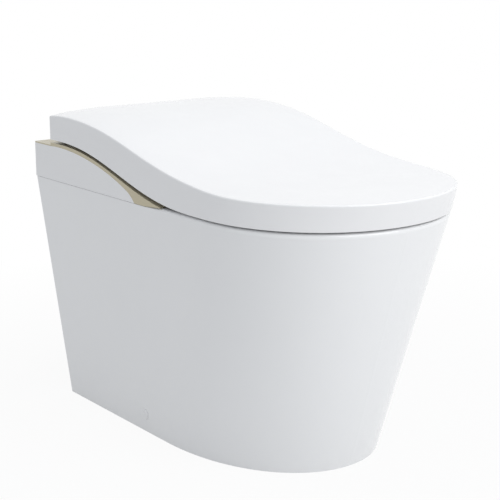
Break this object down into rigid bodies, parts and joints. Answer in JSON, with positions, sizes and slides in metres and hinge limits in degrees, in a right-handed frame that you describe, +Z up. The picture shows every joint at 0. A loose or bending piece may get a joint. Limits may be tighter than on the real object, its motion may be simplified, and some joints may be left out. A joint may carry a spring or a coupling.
{
  "type": "smart toilet",
  "caption": "One-piece skirted smart toilet with a heated seat, S-curved lid, metal trim, rear wash unit and telescoping spray nozzle.",
  "frame": {"origin": "on the floor, in the middle of the bounding box", "axes": "+Z up, the toilet faces -Y and its back is to the wall on +Y, +X is a seated user's left"},
  "size_m": [0.3996, 0.6946, 0.4986],
  "materials": {
    "glazed_white": "glossy",
    "white_gloss": "glossy",
    "white_matte": "satin",
    "champagne": "satin metallic",
    "grey_plastic": "matte",
    "black_plastic": "matte",
    "black_rubber": "matte",
    "grey_rubber": "matte",
    "silicone": "satin",
    "steel": "brushed",
    "brass": "machined",
    "board_green": "satin",
    "copper_film": "satin",
    "lens": "translucent"
  },
  "bodies": {
    "toilet": {"skirt_ceramic": "glazed_white", "deck_ceramic": "glazed_white", "bowl_ceramic": "glazed_white", "sump_ceramic": "glazed_white", "trapway_ceramic": "glazed_white", "outlet_adapter": "grey_plastic", "outlet_gasket": "black_rubber", "floor_brackets": "grey_plastic", "side_caps": "white_gloss", "side_screws": "steel", "unit_gasket": "black_rubber", "unit_base": "white_matte", "side_cover_left": "white_gloss", "side_cover_right": "white_gloss", "back_cover": "white_matte", "side_trim_left": "champagne", "side_trim_right": "champagne", "ledge_plate": "champagne", "unit_top_cover": "white_gloss", "hinge_motors": "black_plastic", "hinge_pins": "steel", "nozzle_guide": "grey_plastic", "nozzle_motor": "black_plastic", "water_heater": "grey_plastic", "water_pump": "black_plastic", "water_pipes": "silicone", "supply_valve": "brass", "cord_gland": "black_plastic", "flush_tank": "white_matte", "jet_pump": "black_plastic", "jet_hose": "black_rubber", "rim_hose": "black_rubber", "control_board": "board_green", "dryer_housing": "grey_plastic", "dryer_duct": "grey_plastic", "deodoriser_housing": "grey_plastic", "night_light": "lens", "tray_screws": "steel"},
    "seat": {"seat_top": "white_gloss", "seat_base": "white_matte", "seat_heater": "copper_film", "seat_buffers": "grey_rubber"},
    "lid": {"lid_shell": "white_gloss", "lid_liner": "white_matte", "lid_buffers": "grey_rubber"},
    "nozzle": {"nozzle_arm": "white_matte", "nozzle_tip": "steel"},
    "nozzle_drive": {"nozzle_pinion": "black_plastic"},
    "dryer_fan": {"dryer_impeller": "black_plastic"},
    "cartridge": {"deodoriser_cartridge": "black_plastic"},
    "button": {"power_button": "champagne"}
  },
  "joints": [
    {"name": "seat_hinge", "type": "hinge", "parent": "toilet", "child": "seat", "pos_m": [0, 0.284, 0.461], "axis": [-1, 0, 0], "range_deg": [0, 95]},
    {"name": "lid_hinge", "type": "hinge", "parent": "seat", "child": "lid", "pos_m": [0, 0.284, 0.461], "axis": [1, 0, 0], "range_deg": [-97, 0]},
    {"name": "nozzle_slide", "type": "slide", "parent": "toilet", "child": "nozzle", "axis": [0, -0.9272, -0.3746], "range_m": [0, 0.105]},
    {"name": "pinion_spin", "type": "hinge", "parent": "toilet", "child": "nozzle_drive", "pos_m": [0, 0.10126, 0.42734], "axis": [-1, 0, 0], "range_deg": [0, 870]},
    {"name": "dryer_fan_spin", "type": "hinge", "parent": "toilet", "child": "dryer_fan", "pos_m": [-0.074, 0.186, 0.405], "axis": [0, 0, 1], "continuous": true},
    {"name": "cartridge_slide", "type": "slide", "parent": "toilet", "child": "cartridge", "axis": [1, 0, 0], "range_m": [0, 0.07]},
    {"name": "button_press", "type": "slide", "parent": "toilet", "child": "button", "axis": [-1, 0, 0], "range_m": [0, 0.0015], "stiffness_N_per_m": 900}
  ],
  "couplings": [
    {"joint": "pinion_spin", "follows": "nozzle_slide", "rad_per_m": 142.86}
  ]
}
